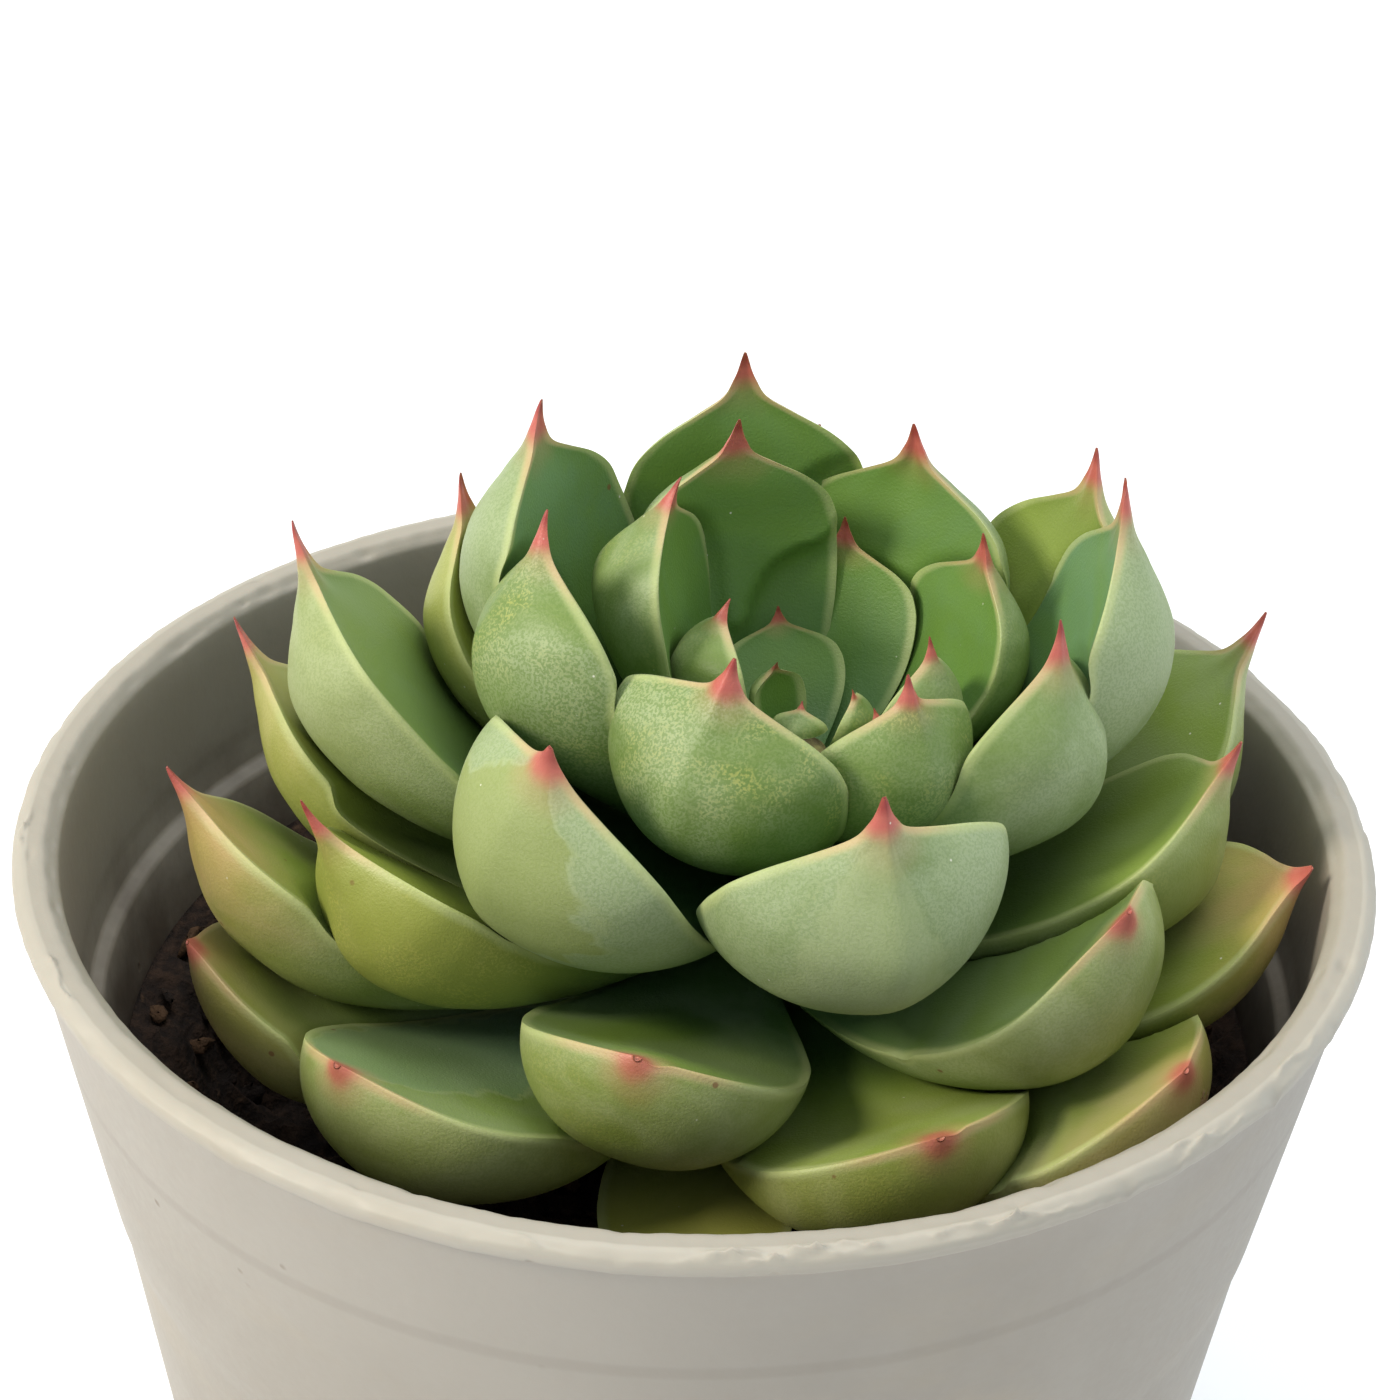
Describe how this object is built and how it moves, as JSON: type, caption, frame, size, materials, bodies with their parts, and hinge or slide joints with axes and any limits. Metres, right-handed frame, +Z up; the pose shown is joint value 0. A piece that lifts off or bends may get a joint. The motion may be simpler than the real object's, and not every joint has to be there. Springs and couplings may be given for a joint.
{
  "type": "potted echeveria succulent",
  "caption": "Rosette succulent with plump, cupped, point-tipped leaves on a short stem, growing in potting mix in a tapered round nursery pot.",
  "frame": {"origin": "centre of the pot's foot, on the surface it stands on", "axes": "+Z up along the pot's axis, +X to the right and +Y to the back as seen from the front"},
  "size_m": [0.0906, 0.0906, 0.1045],
  "materials": {
    "pot_plastic": "matte moulded plastic, a little scuffed",
    "potting_mix": "damp crumbly peat and bark",
    "stem_bark": "matte woody stem",
    "leaf_heart": "waxy bloom",
    "leaf_middle": "waxy bloom",
    "leaf_outer": "waxy bloom, partly rubbed off"
  },
  "bodies": {
    "root": {"pot": "pot_plastic", "potting_mix": "potting_mix", "stem": "stem_bark", "leaf_01": "leaf_heart", "leaf_02": "leaf_heart", "leaf_03": "leaf_heart", "leaf_04": "leaf_heart", "leaf_05": "leaf_heart", "leaf_06": "leaf_heart", "leaf_07": "leaf_heart", "leaf_08": "leaf_middle", "leaf_09": "leaf_middle", "leaf_10": "leaf_middle", "leaf_11": "leaf_middle", "leaf_12": "leaf_middle", "leaf_13": "leaf_middle", "leaf_14": "leaf_middle", "leaf_15": "leaf_middle", "leaf_16": "leaf_middle", "leaf_17": "leaf_middle", "leaf_18": "leaf_middle", "leaf_19": "leaf_middle", "leaf_20": "leaf_middle", "leaf_21": "leaf_middle", "leaf_22": "leaf_middle", "leaf_23": "leaf_middle", "leaf_24": "leaf_middle", "leaf_25": "leaf_middle", "leaf_26": "leaf_middle", "leaf_27": "leaf_middle", "leaf_28": "leaf_outer", "leaf_29": "leaf_outer", "leaf_30": "leaf_outer", "leaf_31": "leaf_outer", "leaf_32": "leaf_outer", "leaf_33": "leaf_outer", "leaf_34": "leaf_outer", "leaf_35": "leaf_outer", "leaf_36": "leaf_outer", "leaf_37": "leaf_outer", "leaf_38": "leaf_outer", "leaf_39": "leaf_outer", "leaf_40": "leaf_outer", "leaf_41": "leaf_outer", "leaf_42": "leaf_outer", "leaf_43": "leaf_outer", "leaf_44": "leaf_outer", "leaf_45": "leaf_outer"}
  },
  "joints": []
}
